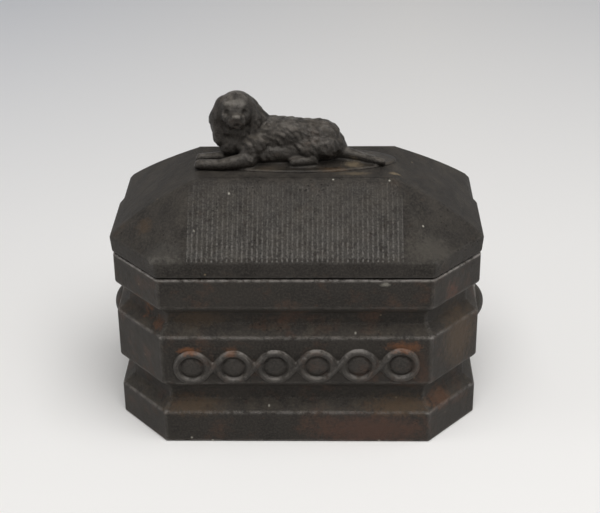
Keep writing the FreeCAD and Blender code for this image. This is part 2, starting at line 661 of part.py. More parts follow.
def makeDog():
    """The dog on its low oval ground, with two blind holes in the underside for the screws."""
    vector = FreeCAD.Vector
    top = number(roofTop)
    place = vector(number("sizes.dogRight"), number("sizes.dogBack"), top)
    size = number("sizes.dogSize")
    halfLong = number("sizes.groundLength") / 2
    halfWide = number("sizes.groundDepth") / 2
    slant = number("sizes.groundSlant")
    lowOval = Part.Ellipse(vector(0, 0, 0), halfLong, halfWide)
    highOval = Part.Ellipse(vector(0, 0, number("sizes.groundHeight")), halfLong - slant, halfWide - slant)
    wires = [Part.Wire(oval.toShape()) for oval in (lowOval, highOval)]
    ground = Part.makeLoft(wires, True, True)
    ground.translate(vector(0, number("sizes.groundBack"), top))
    forms = []
    for start, startRadius, end, endRadius in dogForms.values():
        form = taperedForm(vector(*start) * size, startRadius * size, vector(*end) * size, endRadius * size)
        form.translate(place)
        forms.append(form)
    shape = ground.multiFuse(forms)
    long = number("sizes.lidLength")
    under = Part.makeBox(2 * long, 2 * long, 2 * long, vector(-long, -long, top - 2 * long))
    shape = shape.cut(under)
    radius = number("sizes.screwRadius + sizes.tappedClearance")
    below = number("sizes.roofWall")
    for name in ("sizes.leftScrewPlace", "sizes.rightScrewPlace"):
        start = vector(number(name), number("sizes.screwBack"), top - below)
        shape = shape.cut(Part.makeCylinder(radius, number("sizes.screwBite") + below, start))
    dog = doc.addObject("Part::Feature", "dog_figure")
    dog.Label = "dog_figure"
    dog.Shape = shape.Solids[0] if len(shape.Solids) == 1 else shape
    dog.Placement = FreeCAD.Placement()
    return dog


pieces = [
    makeBox(),
    makeLid(),
    makePin(),
    makeDog(),
    makeScrew("figure_screw_left", "sizes.leftScrewPlace"),
    makeScrew("figure_screw_right", "sizes.rightScrewPlace"),
]
doc.recompute()

for item in doc.Objects:
    if "Invalid" in item.State or "Error" in item.State:
        raise RuntimeError("%s did not compute: %s" % (item.Label, item.State))
for piece in pieces:
    if piece.Shape.isNull() or not piece.Shape.isValid():
        raise RuntimeError("%s has no valid shape" % piece.Label)
    if len(piece.Shape.Solids) != 1:
        raise RuntimeError("%s has %d solids" % (piece.Label, len(piece.Shape.Solids)))

os.makedirs("parts", exist_ok=True)
for piece in pieces:
    piece.Shape.exportStep("parts/%s.step" % piece.Label)
    box = piece.Shape.BoundBox
    print("%s: %.2f x %.2f x %.2f mm, %.0f mm3" % (
        piece.Label, box.XLength, box.YLength, box.ZLength, piece.Shape.Volume))
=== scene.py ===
import math
import random
import bpy
import bmesh
from mathutils import Euler, Matrix, Vector


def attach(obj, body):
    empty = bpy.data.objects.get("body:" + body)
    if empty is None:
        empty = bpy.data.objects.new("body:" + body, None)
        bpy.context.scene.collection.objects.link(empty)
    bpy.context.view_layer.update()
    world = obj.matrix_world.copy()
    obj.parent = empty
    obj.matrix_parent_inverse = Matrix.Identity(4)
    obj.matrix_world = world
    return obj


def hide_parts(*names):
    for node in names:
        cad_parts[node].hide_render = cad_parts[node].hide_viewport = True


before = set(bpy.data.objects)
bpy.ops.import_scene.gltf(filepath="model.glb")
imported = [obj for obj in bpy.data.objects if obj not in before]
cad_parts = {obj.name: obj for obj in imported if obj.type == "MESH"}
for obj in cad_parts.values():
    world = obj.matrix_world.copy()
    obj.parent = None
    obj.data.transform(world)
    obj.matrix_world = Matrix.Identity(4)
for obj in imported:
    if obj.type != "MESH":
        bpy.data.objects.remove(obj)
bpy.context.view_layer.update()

mm = 0.001  # every size below is in millimetres, and Blender works in metres

# camera
cameraSetup = {
    "place": (11.53, -403.36, 258.20),
    "tilt": 62.736,
    "pan": 1.529,
    "roll": -0.735,
    "lens": 85.0,
    "sensor": 36.0,
}


def makeCamera(setup):
    bpy.ops.object.camera_add(location=[value * mm for value in setup["place"]])
    camera = bpy.context.object
    camera.data.lens = setup["lens"]
    camera.data.sensor_width = setup["sensor"]
    camera.data.clip_start = 0.01
    camera.data.clip_end = 20
    aim = Euler((math.radians(setup["tilt"]), 0, math.radians(setup["pan"]))).to_quaternion()
    turn = Euler((0, 0, math.radians(setup["roll"]))).to_quaternion()
    camera.rotation_mode = "QUATERNION"
    camera.rotation_quaternion = aim @ turn
    bpy.context.scene.camera = camera


makeCamera(cameraSetup)
print("camera set")

# modelling helpers


def point(x, y, z):
    return Vector((x * mm, y * mm, z * mm))


def clearSelection():
    if bpy.context.object and bpy.context.object.mode != "OBJECT":
        bpy.ops.object.mode_set(mode="OBJECT")
    bpy.ops.object.select_all(action="DESELECT")


def choose(kind, test):
    # in edit mode: selects the vertices, edges or faces that pass the test, and nothing else
    bpy.ops.mesh.select_mode(type=kind)
    bpy.ops.mesh.select_all(action="DESELECT")
    data = bpy.context.object.data
    mesh = bmesh.from_edit_mesh(data)
    parts = {"VERT": mesh.verts, "EDGE": mesh.edges, "FACE": mesh.faces}[kind]
    count = 0
    for part in parts:
        if test(part):
            part.select_set(True)
            count += 1
    mesh.select_flush_mode()
    bmesh.update_edit_mesh(data)
    return count


def middleOf(part):
    total = Vector((0, 0, 0))
    for vert in part.verts:
        total += vert.co
    return total / len(part.verts)


def cut(place, normal, dropOuter=False):
    bpy.ops.mesh.select_all(action="SELECT")
    bpy.ops.mesh.bisect(
        plane_co=place, plane_no=normal, use_fill=dropOuter, clear_outer=dropOuter, threshold=1e-7)


def sharpEdge(edge, degrees):
    return len(edge.link_faces) == 2 and edge.calc_face_angle(0) > math.radians(degrees)


def finishPiece(piece, body, smooth=32, flatFaces=False):
    clearSelection()
    piece.select_set(True)
    bpy.context.view_layer.objects.active = piece
    bpy.ops.object.transform_apply(location=True, rotation=True, scale=True)
    bpy.ops.object.shade_smooth_by_angle(angle=math.radians(smooth))
    if flatFaces:
        applyModifier(piece, "WEIGHTED_NORMAL", keep_sharp=True)
    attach(piece, body)


def applyModifier(piece, kind, **settings):
    modifier = piece.modifiers.new(kind.lower(), kind)
    for name, value in settings.items():
        setattr(modifier, name, value)
    bpy.ops.object.modifier_apply(modifier=modifier.name)


def joinPieces(pieces, name):
    clearSelection()
    for piece in pieces:
        piece.select_set(True)
    bpy.context.view_layer.objects.active = pieces[0]
    if len(pieces) > 1:
        bpy.ops.object.join()
    joined = bpy.context.object
    joined.name = name
    joined.data.name = name
    return joined


def addForm(start, startRadius, end, endRadius, fineness=3):
    # a tapered round form: two balls and the skin stretched over both
    clearSelection()
    balls = []
    for centre, radius in ((start, startRadius), (end, endRadius)):
        bpy.ops.mesh.primitive_ico_sphere_add(
            subdivisions=fineness, radius=radius * mm, location=point(*centre))
        balls.append(bpy.context.object)
    form = joinPieces(balls, "form")
    bpy.ops.object.mode_set(mode="EDIT")
    bpy.ops.mesh.select_all(action="SELECT")
    bpy.ops.mesh.convex_hull()
    bpy.ops.object.mode_set(mode="OBJECT")
    return form


def keepFromCad(node, keep, name):
    # a merged copy of one region of a CAD node, cut out by planes and closed
    clearSelection()
    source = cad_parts[node]
    copy = bpy.data.objects.new(name, source.data.copy())
    bpy.context.scene.collection.objects.link(copy)
    copy.data.materials.clear()
    copy.select_set(True)
    bpy.context.view_layer.objects.active = copy
    bpy.ops.object.mode_set(mode="EDIT")
    bpy.ops.mesh.select_all(action="SELECT")
    bpy.ops.mesh.remove_doubles(threshold=1e-6)
    for place, normal in keep:
        cut(place, normal, dropOuter=True)
    return copy


# box
boxShape = {
    "halfLength": 57.1,
    "halfDepth": 30.7,
    "frontHalf": 41.58,
    "cornerY": -12.84,
    "height": 58.1,
    "levels": (10.8, 14.1, 18.5, 21.8, 37.9, 41.2, 44.9, 48.2),
    "grooves": ((14.1, 18.5), (41.2, 44.9)),
    "grooveDepth": 3.8,
    "edgeRound": 0.5,
    "wall": 6.6,
    "floor": 4.0,
    "bossRadius": 6.4,
    "bossHeight": 3.8,
    "bossY": 8.0,
    "bossZ": 29.85,
    "bossRoot": 4.0,
    "lugs": (20, 28),
    "lugRoot": 1.8,
}


def cutFrontCorners(shape):
    # both front corners come off, from the front face to the end face
    for side in (1, -1):
        across = Vector((shape["halfLength"] - shape["frontHalf"], shape["cornerY"] + shape["halfDepth"], 0))
        normal = Vector((across.y * side, -across.x, 0)).normalized()
        cut(point(side * shape["frontHalf"], -shape["halfDepth"], 0), normal, dropOuter=True)


def makeBox(shape):
    clearSelection()
    bpy.ops.mesh.primitive_cube_add(size=mm, location=point(0, 0, shape["height"] / 2))
    box = bpy.context.object
    box.scale = (2 * shape["halfLength"], 2 * shape["halfDepth"], shape["height"])
    bpy.ops.object.transform_apply(location=True, rotation=True, scale=True)
    box.name = "banded_box"
    bpy.ops.object.mode_set(mode="EDIT")
    cutFrontCorners(shape)
    for level in shape["levels"]:
        cut(point(0, 0, level), (0, 0, 1))
    for low, high in shape["grooves"]:
        choose("FACE", lambda face: low * mm < middleOf(face).z < high * mm)
        bpy.ops.transform.shrink_fatten(value=-shape["grooveDepth"] * mm, use_even_offset=True)
    choose("EDGE", lambda edge: sharpEdge(edge, 20))
    bpy.ops.mesh.bevel(offset=shape["edgeRound"] * mm, segments=2, affect="EDGES")
    choose("FACE", lambda face: face.normal.z > 0.99 and middleOf(face).z > (shape["height"] - 0.05) * mm)
    bpy.ops.mesh.inset(thickness=(shape["wall"] - shape["edgeRound"]) * mm, use_even_offset=True)
    drop = (0, 0, -(shape["height"] - shape["floor"]) * mm)
    bpy.ops.mesh.extrude_region_move(TRANSFORM_OT_translate={"value": drop})
    bpy.ops.object.mode_set(mode="OBJECT")
    return box


def addBoss(shape, side):
    # a domed boss: a ball cut off inside the end wall
    clearSelection()
    face = shape["halfLength"]
    radius = (shape["bossHeight"] ** 2 + shape["bossRadius"] ** 2) / (2 * shape["bossHeight"])
    centre = side * (face + shape["bossHeight"] - radius)
    bpy.ops.mesh.primitive_uv_sphere_add(
        segments=48, ring_count=32, radius=radius * mm,
        location=point(centre, shape["bossY"], shape["bossZ"]))
    boss = bpy.context.object
    bpy.ops.object.transform_apply(location=True, rotation=True, scale=True)
    bpy.ops.object.mode_set(mode="EDIT")
    cut(point(side * (face - shape["bossRoot"]), 0, 0), (-side, 0, 0), dropOuter=True)
    bpy.ops.object.mode_set(mode="OBJECT")
    return boss


def keepLugs(node, shape):
    # the hinge lugs of a node on both sides, each with a root that reaches into its wall
    start, end = shape["lugs"]
    foot = shape["halfDepth"] + 0.02
    lugs = []
    for side in (1, -1):
        planes = [
            (point(0, foot, 0), (0, -1, 0)),
            (point(side * start, 0, 0), (-side, 0, 0)),
            (point(side * end, 0, 0), (side, 0, 0)),
        ]
        lug = keepFromCad(node, planes, "lug")
        choose("FACE", lambda face: face.normal.y < -0.9 and abs(middleOf(face).y - foot * mm) < 1e-6)
        bpy.ops.mesh.extrude_region_move(TRANSFORM_OT_translate={"value": point(0, -shape["lugRoot"], 0)})
        bpy.ops.object.mode_set(mode="OBJECT")
        lugs.append(lug)
    return lugs


boxPieces = [makeBox(boxShape), addBoss(boxShape, 1), addBoss(boxShape, -1)]
boxPieces += keepLugs("box_body", boxShape)
box = joinPieces(boxPieces, "banded_box")
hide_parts("box_body")
finishPiece(box, "box", smooth=50, flatFaces=True)
print("box", len(box.data.polygons))

# guilloche on the front of the box
guilloche = {
    "faceY": -30.7,
    "middleZ": 27.95,
    "pitch": 12.9,
    "count": 6,
    "tilt": 0.9,
    "ringRadius": 4.85,
    "bandHalf": 1.05,
    "relief": 1.15,
    "overRelief": 1.4,
    "underRelief": 0.75,
    "button": (3.7, 0.8, 3.0),
    "plate": (75.0, 2.0, 12.2),
    "plateInside": 0.1,
    "voxel": 0.22,
}


def addStrand(shape, x, direction, relief):
    # a straight strand that touches two neighbouring rings, from the low side of one to the high side
    slope = math.asin(2 * shape["ringRadius"] / shape["pitch"])
    across = shape["ringRadius"] * math.sin(slope)
    up = shape["ringRadius"] * math.cos(slope) * direction
    start, end = (x + across, 0, -up), (x + shape["pitch"] - across, 0, up)
    strand = addForm(start, shape["bandHalf"], end, shape["bandHalf"] * 0.99)
    strand.scale = (1, relief / shape["bandHalf"], 1)
    return strand


def makeGuilloche(shape):
    # rings, buttons and crossing strands on a plate, merged and softened like a worn casting
    clearSelection()
    plateMiddle = shape["plateInside"] + shape["plate"][1] / 2
    bpy.ops.mesh.primitive_cube_add(size=mm, location=point(0, plateMiddle, 0))
    plate = bpy.context.object
    plate.scale = shape["plate"]
    parts = [plate]
    for index in range(shape["count"]):
        x = (index - (shape["count"] - 1) / 2) * shape["pitch"]
        bpy.ops.mesh.primitive_torus_add(
            major_radius=shape["ringRadius"] * mm, minor_radius=shape["bandHalf"] * mm,
            major_segments=48, minor_segments=12, location=point(x, 0, 0), rotation=(math.pi / 2, 0, 0))
        bpy.context.object.scale = (1, 1, shape["relief"] / shape["bandHalf"])
        parts.append(bpy.context.object)
        bpy.ops.mesh.primitive_uv_sphere_add(segments=32, ring_count=16, radius=mm, location=point(x, 0, 0))
        bpy.context.object.scale = shape["button"]
        parts.append(bpy.context.object)
        if index < shape["count"] - 1:
            parts.append(addStrand(shape, x, 1, shape["overRelief"]))
            parts.append(addStrand(shape, x, -1, shape["underRelief"]))
    band = joinPieces(parts, "guilloche")
    bpy.ops.object.transform_apply(location=True, rotation=True, scale=True)
    band.rotation_euler = (0, -math.radians(shape["tilt"]), 0)
    band.location = point(0, shape["faceY"], shape["middleZ"])
    bpy.ops.object.transform_apply(location=True, rotation=True, scale=True)
    applyModifier(band, "REMESH", mode="VOXEL", voxel_size=shape["voxel"] * mm)
    applyModifier(band, "SMOOTH", factor=0.5, iterations=3)
    return band


band = makeGuilloche(guilloche)
finishPiece(band, "box", smooth=60)
print("guilloche", len(band.data.polygons))

# lid
lidShape = {
    "rimBottom": 58.7,
    "rimTop": 64.0,
    "rimDraft": 0.5,
    "rise": 19.0,
    "steps": 8,
    "halfLength": 57.8,
    "topHalfLength": 30.5,
    "bulge": 2.2,
    "halfDepth": 31.4,
    "frontSetback": 18.8,
    "rearSetback": 17.8,
    "frontHalf": 41.9,
    "topFrontHalf": 29.9,
    "cornerY": -13.1,
    "topCornerY": -12.0,
    "edgeRound": 0.6,
    "topRound": 1.2,
    "rimWall": 3.4,
    "topWall": 1.2,
    "ceiling": 80.0,
    "hollowStart": 0.8,
    "stepIn": 0.9,
    "stepY": 11.6,
    "lugs": (15, 22),
    "lugRoot": 1.8,
}

# the striker on the lid's front slope
strikerShape = {
    "pitch": 1.5,
    "count": 43,
    "width": 0.8,
    "lowDepth": 0.3,
    "highDepth": 0.16,
    "margin": 1.6,
    "runOut": 0.5,
}


def roofRing(shape, part):
    # the lid's outline at a fraction of the roof's rise: front corner, end corner and rear corner
    swell = 4 * shape["bulge"] * part * (1 - part)
    half = shape["halfLength"] + (shape["topHalfLength"] - shape["halfLength"]) * part + swell
    front = -shape["halfDepth"] + shape["frontSetback"] * part
    frontHalf = shape["frontHalf"] + (shape["topFrontHalf"] - shape["frontHalf"]) * part
    corner = shape["cornerY"] + (shape["topCornerY"] - shape["cornerY"]) * part
    rear = shape["halfDepth"] - shape["rearSetback"] * part
    return ((frontHalf, front), (half, corner), (half, rear))


def insetRing(ring, inset):
    (frontHalf, front), (half, corner), (_, rear) = ring
    turn = math.atan2(corner - front, half - frontHalf)
    nextFront = (frontHalf - inset * math.tan(turn / 2), front + inset)
    nextCorner = (half - inset, corner + inset * math.tan(math.pi / 4 - turn / 2))
    return (nextFront, nextCorner, (half - inset, rear - inset))


def moveRing(level, before, after):
    # each pair of corners is drawn in and set back to its place at this level
    for (oldX, oldY), (newX, newY) in zip(before, after):
        def here(vert):
            spot = vert.co / mm
            return abs(abs(spot.x) - oldX) < 0.01 and abs(spot.y - oldY) < 0.01 and abs(spot.z - level) < 0.01
        if choose("VERT", here) != 2:
            raise RuntimeError("corner not found at %.2f" % level)
        bpy.ops.transform.resize(value=(newX / oldX, 1, 1), center_override=(0, 0, 0))
        bpy.ops.transform.translate(value=point(0, newY - oldY, 0))


def raiseRing(level, before, nextLevel, after):
    # the six-cornered face at this level is drawn up to the next one and reshaped
    def cap(face):
        spots = [vert.co / mm for vert in face.verts]
        within = all(abs(spot.x) < before[1][0] + 0.01 and spot.y < before[2][1] + 0.01 for spot in spots)
        return len(spots) == 6 and within and all(abs(spot.z - level) < 0.01 for spot in spots)
    choose("FACE", cap)
    bpy.ops.mesh.extrude_region_move(TRANSFORM_OT_translate={"value": point(0, 0, nextLevel - level)})
    moveRing(nextLevel, before, after)


def makeLid(shape):
    clearSelection()
    height = shape["rimTop"] - shape["rimBottom"]
    bpy.ops.mesh.primitive_cube_add(size=mm, location=point(0, 0, shape["rimBottom"] + height / 2))
    lid = bpy.context.object
    lid.scale = (2 * shape["halfLength"], 2 * shape["halfDepth"], height)
    bpy.ops.object.transform_apply(location=True, rotation=True, scale=True)
    bpy.ops.object.mode_set(mode="EDIT")
    cutFrontCorners(shape)
    rim = roofRing(shape, 0)
    foot = insetRing(rim, shape["rimDraft"])
    moveRing(shape["rimBottom"], rim, foot)
    before, level = rim, shape["rimTop"]
    for step in range(1, shape["steps"] + 1):
        part = step / shape["steps"]
        after, nextLevel = roofRing(shape, part), shape["rimTop"] + shape["rise"] * part
        raiseRing(level, before, nextLevel, after)
        before, level = after, nextLevel
    # the hollow, drawn up from the foot in the same way
    choose("FACE", lambda face: face.normal.z < -0.99)
    bpy.ops.mesh.inset(thickness=(shape["rimWall"] - shape["rimDraft"]) * mm, use_even_offset=True)
    before, level = insetRing(rim, shape["rimWall"]), shape["rimBottom"]
    start = shape["rimTop"] - shape["hollowStart"]
    for step in range(shape["steps"] + 1):
        part = step / shape["steps"]
        nextLevel = start + (shape["ceiling"] - start) * part
        wall = shape["rimWall"] + (shape["topWall"] - shape["rimWall"]) * part
        after = insetRing(roofRing(shape, part), wall)
        raiseRing(level, before, nextLevel, after)
        before, level = after, nextLevel
    return lid


def setBackEnds(shape):
    # behind the step each end of the rim is set in a little
    for place in (shape["stepY"], shape["stepY"] + shape["stepIn"]):
        cut(point(0, place, 0), (0, 1, 0))
    def behind(vert):
        spot = vert.co / mm
        onEnd = abs(spot.x) > shape["halfLength"] - 1.2 and spot.z < shape["rimTop"] + 1
        return onEnd and spot.y > shape["stepY"] + 0.5
    choose("VERT", behind)
    drawn = 1 - shape["stepIn"] / shape["halfLength"]
    bpy.ops.transform.resize(value=(drawn, 1, 1), center_override=(0, 0, 0))


def roundLid(shape):
    high = (shape["rimTop"] + shape["rise"] - 0.1) * mm
    def topEdge(edge):
        return sharpEdge(edge, 14) and edge.is_convex and all(vert.co.z > high for vert in edge.verts)
    choose("EDGE", topEdge)
    bpy.ops.mesh.bevel(offset=shape["topRound"] * mm, segments=3, affect="EDGES")
    def outerCorner(edge):
        return sharpEdge(edge, 14) and edge.is_convex and middleOf(edge).z < high - mm
    choose("EDGE", outerCorner)
    bpy.ops.mesh.bevel(offset=shape["edgeRound"] * mm, segments=2, affect="EDGES")


def onFrontSlope(face):
    return face.normal.y < -0.6 and abs(face.normal.x) < 0.02 and 0.6 < face.normal.z < 0.8


def cutStriker(shape, striker):
    # three cuts for each groove, and the middle one is pressed in, deepest at the foot of the slope
    rise, run = shape["rise"], shape["frontSetback"]
    slope = math.atan2(rise, run)
    inward = Vector((0, math.sin(slope), -math.cos(slope)))
    low = shape["rimTop"] + striker["margin"] * math.sin(slope)
    high = shape["rimTop"] + rise - striker["margin"] * math.sin(slope)
    lowest, highest = low + striker["runOut"], high - striker["runOut"]
    for level in (low, lowest, highest, high):
        choose("FACE", onFrontSlope)
        bpy.ops.mesh.bisect(plane_co=point(0, 0, level), plane_no=(0, 0, 1), threshold=1e-7)
    def between(face):
        return onFrontSlope(face) and low * mm < middleOf(face).z < high * mm
    first = -(striker["count"] - 1) / 2
    middles = [(index + first) * striker["pitch"] for index in range(striker["count"])]
    for middle in middles:
        for offset in (-striker["width"] / 2, 0, striker["width"] / 2):
            choose("FACE", between)
            bpy.ops.mesh.bisect(plane_co=point(middle + offset, 0, 0), plane_no=(1, 0, 0), threshold=1e-7)
    rings = [shape["rimTop"] + rise * step / shape["steps"] for step in range(1, shape["steps"])]
    for level in [lowest, highest] + [ring for ring in rings if lowest <= ring <= highest]:
        def groove(vert):
            spot = vert.co / mm
            near = min(abs(spot.x - middle) for middle in middles)
            sloped = abs((spot.y + shape["halfDepth"]) * rise - (spot.z - shape["rimTop"]) * run) < 0.05
            return near < 0.002 and sloped and abs(spot.z - level) < 0.01
        choose("VERT", groove)
        share = (level - lowest) / (highest - lowest)
        depth = striker["lowDepth"] + share * (striker["highDepth"] - striker["lowDepth"])
        bpy.ops.transform.translate(value=inward * depth * mm)


lid = makeLid(lidShape)
setBackEnds(lidShape)
roundLid(lidShape)
cutStriker(lidShape, strikerShape)
bpy.ops.object.mode_set(mode="OBJECT")
lid = joinPieces([lid] + keepLugs("lid", lidShape), "hipped_lid")
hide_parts("lid")
finishPiece(lid, "lid_with_dog", smooth=20, flatFaces=True)
print("lid", len(lid.data.polygons))

# dog
dogShape = {
    "place": (-3.5, 3.0, 83.0),
    "voxel": 0.3,
    "forms": {
        "trunk": ((-10.5, 0.2, 8.2), 6.0, (11.6, 0.3, 6.9), 5.8),
        "rump": ((11.6, 0.2, 6.4), 5.8, (15.6, -0.2, 3.7), 3.8),
        "haunch": ((6.6, -3.4, 5.2), 4.1, (12.6, -3.0, 5.4), 4.4),
        "hindFoot": ((2.9, -7.4, 2.0), 1.5, (8.5, -6.4, 2.2), 1.9),
        "shoulder": ((-8.8, -3.4, 6.8), 4.2, (-11.0, -5.6, 3.4), 3.1),
        "nearForeleg": ((-11.0, -7.0, 2.6), 2.7, (-19.5, -8.4, 1.6), 1.8),
        "nearPaw": ((-19.5, -8.4, 1.6), 1.75, (-26.0, -7.8, 1.4), 1.7),
        "belly": ((-8.0, -3.6, 3.8), 3.7, (5.0, -3.4, 3.6), 3.4),
        "farForeleg": ((-13.0, -2.4, 2.2), 1.9, (-26.2, -2.6, 1.5), 1.45),
        "chest": ((-16.3, -1.6, 6.0), 4.1, (-12.5, -0.4, 7.6), 5.4),
        "neck": ((-13.4, -0.5, 8.4), 5.3, (-14.6, -1.2, 14.2), 5.1),
        "mane": ((-12.9, 0.3, 17.4), 4.1, (-8.3, 0.3, 11.8), 4.0),
        "skull": ((-14.5, -1.5, 17.0), 5.95, (-14.5, -3.7, 16.6), 5.1),
        "brow": ((-17.0, -4.6, 19.5), 2.1, (-12.6, -4.6, 19.5), 2.05),
        "muzzle": ((-14.3, -5.6, 15.9), 3.6, (-14.2, -7.2, 15.8), 2.9),
        "nose": ((-14.8, -9.0, 17.3), 1.05, (-13.6, -9.0, 17.3), 1.03),
        "leftEar": ((-17.8, -1.6, 18.1), 3.6, (-20.4, -1.6, 14.0), 2.75),
        "leftEarTip": ((-20.4, -1.6, 14.0), 2.75, (-19.4, -3.0, 7.8), 2.1),
        "rightEar": ((-10.8, -2.4, 18.0), 2.4, (-9.6, -3.0, 14.0), 2.5),
        "rightEarTip": ((-9.6, -3.0, 14.0), 2.5, (-9.4, -3.8, 10.4), 2.0),
        "tailRoot": ((16.0, -0.5, 2.8), 2.5, (22.5, -2.8, 2.0), 1.7),
        "tailTip": ((22.5, -2.8, 2.0), 1.7, (30.0, -6.2, 1.5), 1.1),
        "nearToes": ((-27.0, -8.6, 1.1), 0.8, (-27.0, -7.0, 1.2), 0.78),
        "farToes": ((-27.0, -3.4, 1.2), 0.8, (-27.0, -1.8, 1.3), 0.78),
    },
    "lock": {
        "root": ((0.0, 0.0, 0.0), 0.8, (1.6, 0.35, 0.25), 0.72),
        "tip": ((1.6, 0.35, 0.25), 0.72, (3.3, -0.15, -0.1), 0.3),
    },
    # axis start, axis end, direction at angle 0, rows, angles, flow of the coat, depth sunk
    "coat": {
        "trunk": ((-6.5, 0.2, 8.0), (12.5, 0.3, 6.6), (0, 0, 1), 8, (-100, 110, 11), (0.8, 0, -0.55), 0.56),
        "rump": ((13.5, 0.2, 5.5), (16.0, 0, 4.0), (0.5, 0, 0.8), 2, (-90, 100, 9), (0.6, 0, -0.8), 0.55),
        "haunch": (
            (6.0, -3.4, 5.0), (14.0, -3.0, 5.0), (0, -0.7, 0.7), 4, (-25, 75, 6), (0.5, 0, -0.85), 0.6),
        "shoulder": (
            (-6.5, -3.0, 7.0), (-12.5, -4.0, 4.0), (0, -0.8, 0.6), 4, (-60, 60, 6), (0.6, 0, -0.8), 0.45),
        "bib": ((-15.5, -1.5, 5.0), (-15.0, -1.5, 11.0), (0, -1, 0), 3, (-70, 60, 6), (0, 0, -1), 0.6),
        "leftEar": (
            (-19.0, -1.2, 15.5), (-19.8, -2.2, 8.0), (-0.8, -0.6, 0), 4, (-90, 90, 6), (0, 0, -1), 0.62),
        "rightEar": (
            (-10.6, -1.6, 15.5), (-9.2, -2.2, 10.5), (0.5, -0.85, 0), 3, (-40, 90, 5), (0.2, 0, -1), 0.62),
        "nape": (
            (-12.5, 1.0, 16.5), (-9.0, 1.0, 11.5), (0.6, 0.8, 0.3), 3, (-80, 80, 6),
            (0.45, 0.2, -0.85), 0.62),
    },
    # places pressed in after the forms are merged: place, push, reach
    "presses": {
        "leftEye": ((-17.1, -7.4, 18.1), (0.2, 0.9, 0), 1.5),
        "rightEye": ((-12.0, -7.4, 18.2), (-0.2, 0.9, 0), 1.5),
        "mouth": ((-14.2, -9.9, 14.9), (0, 0.55, 0.1), 1.3),
        "jaw": ((-14.3, -7.5, 12.4), (0, 1.3, 0.3), 2.4),
        "leftEarFold": ((-17.8, -5.6, 14.5), (0.1, 0.9, 0), 1.6),
        "rightEarFold": ((-11.4, -5.9, 13.8), (0, 0.9, 0), 1.6),
    },
    "ground": {
        "middle": (0.0, 1.6),
        "half": (31.0, 9.6),
        "lowest": 82.0,
        "height": 83.7,
        "rim": 0.65,
        "dome": (28.5, 8.4, 1.2),
    },
}


def makeLock(shape):
    # one wavy lock of the coat, lying along X with its outside towards Z
    forms = [addForm(*form, fineness=2) for form in shape["lock"].values()]
    lock = joinPieces(forms, "lock")
    bpy.ops.object.transform_apply(location=True, rotation=True, scale=True)
    return lock


def lockPlaces(body, region):
    # places on the body where rays towards the region's axis meet its skin
    start, end, zero, rows, (low, high, steps) = region
    start, end = Vector(start), Vector(end)
    axis = (end - start).normalized()
    ahead = Vector(zero)
    ahead = (ahead - axis * ahead.dot(axis)).normalized()
    side = axis.cross(ahead)
    if side.y > 0:
        side = -side
    for row in range(rows):
        middle = start.lerp(end, row / (rows - 1))
        for step in range(steps + row % 2):
            turn = math.radians(low + (high - low) * (step + 0.5 * (row % 2)) / steps + random.uniform(-3, 3))
            out = ahead * math.cos(turn) + side * math.sin(turn)
            hit, place, normal, _ = body.ray_cast(point(*(middle + out * 14)), -out)
            if hit and place.z > 3.0 * mm:
                yield place, normal


def addCoat(body, shape):
    # copies of one lock laid over the coat, each turned along the flow there
    lock = makeLock(shape)
    random.seed(7)
    made = []
    for *region, direction, sink in shape["coat"].values():
        for place, normal in lockPlaces(body, region):
            flow = Vector(direction) + Vector([random.uniform(-0.22, 0.22) for _ in range(3)])
            along = (flow - normal * flow.dot(normal)).normalized()
            frameOfLock = Matrix((along, normal.cross(along), normal)).transposed().to_4x4()
            copy = lock.copy()
            copy.data = lock.data.copy()
            bpy.context.scene.collection.objects.link(copy)
            size = random.uniform(0.85, 1.15)
            mirror = random.choice((1, -1))
            place = place - normal * sink * mm - along * 1.2 * mm
            scaled = Matrix.Diagonal((size, mirror * size, size, 1))
            copy.matrix_world = Matrix.Translation(place) @ frameOfLock @ scaled
            made.append(copy)
    bpy.data.objects.remove(lock)
    return made


def makeDog(shape):
    clearSelection()
    forms = [addForm(*form) for form in shape["forms"].values()]
    body = joinPieces(forms, "lying_dog")
    bpy.ops.object.transform_apply(location=True, rotation=True, scale=True)
    dog = joinPieces([body] + addCoat(body, shape), "lying_dog")
    dog.location = point(*shape["place"])
    bpy.ops.object.transform_apply(location=True, rotation=True, scale=True)
    return dog


def makeGround(shape):
    # the oval ground: a rounded step with a low dome on it
    clearSelection()
    middle, half = shape["middle"], shape["half"]
    depth = shape["height"] - shape["lowest"]
    bpy.ops.mesh.primitive_cylinder_add(
        vertices=96, radius=mm, depth=mm, location=point(middle[0], middle[1], shape["lowest"] + depth / 2))
    step = bpy.context.object
    step.scale = (half[0], half[1], depth)
    bpy.ops.object.transform_apply(location=True, rotation=True, scale=True)
    bpy.ops.object.mode_set(mode="EDIT")
    choose("EDGE", lambda edge: sharpEdge(edge, 60) and middleOf(edge).z > (shape["height"] - 0.1) * mm)
    bpy.ops.mesh.bevel(offset=shape["rim"] * mm, segments=5, affect="EDGES")
    bpy.ops.object.mode_set(mode="OBJECT")
    bpy.ops.mesh.primitive_uv_sphere_add(
        segments=64, ring_count=24, radius=mm, location=point(middle[0], middle[1], shape["height"] - 0.5))
    dome = bpy.context.object
    dome.scale = shape["dome"]
    return [step, dome]


def pressIn(shape):
    # in edit mode: each place of the face is pushed in softly
    home = Vector(shape["place"])
    for place, push, reach in shape["presses"].values():
        target = (home + Vector(place)) * mm
        mesh = bmesh.from_edit_mesh(bpy.context.object.data)
        nearest = min(mesh.verts, key=lambda vert: (vert.co - target).length_squared).index
        choose("VERT", lambda vert: vert.index == nearest)
        bpy.ops.transform.translate(
            value=point(*push), use_proportional_edit=True, proportional_edit_falloff="SMOOTH",
            proportional_size=reach * mm)


